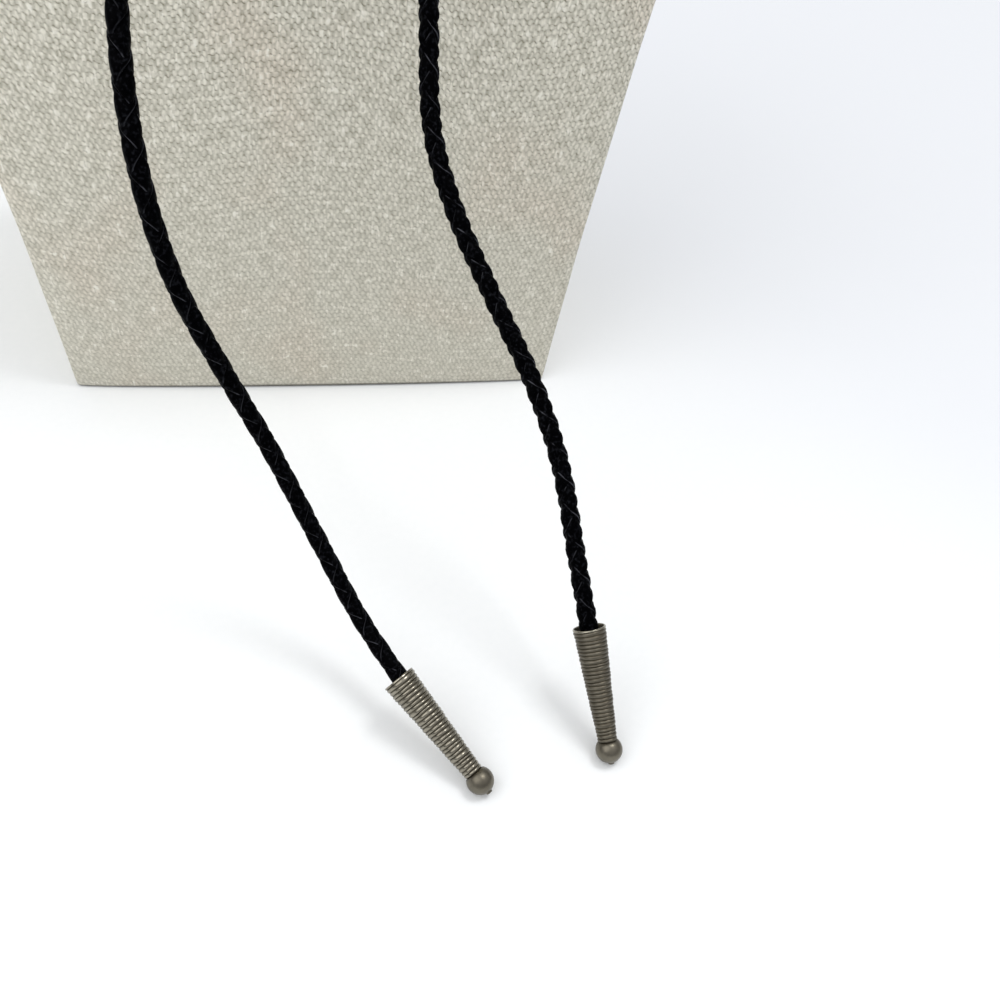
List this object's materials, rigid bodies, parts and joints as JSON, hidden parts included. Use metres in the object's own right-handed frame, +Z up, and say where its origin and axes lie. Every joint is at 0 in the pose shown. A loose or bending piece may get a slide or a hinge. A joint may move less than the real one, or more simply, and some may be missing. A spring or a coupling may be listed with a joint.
{
  "type": "bolo tie on a linen neck bust",
  "caption": "Braided leather bolo tie with ribbed tapering pewter tips, worn round a linen-covered neck bust with a flat base.",
  "frame": {"origin": "on the floor, under the middle of the bust's own box", "axes": "+Z up, -Y towards the viewer, out of the chest, and +X to the viewer's right"},
  "size_m": [0.212, 0.2598, 0.335],
  "materials": {
    "linen": "plain-woven greige linen with light slubs",
    "leather": "black, four-strand round braid, slight sheen",
    "pewter": "antique pewter casting, semi-matte, dark in the ribs",
    "slide_metal": "plain antique metal"
  },
  "bodies": {
    "root": {"bust": "linen", "braided_cord": "leather", "slide": "slide_metal", "tip_left": "pewter", "tip_right": "pewter"}
  },
  "joints": []
}
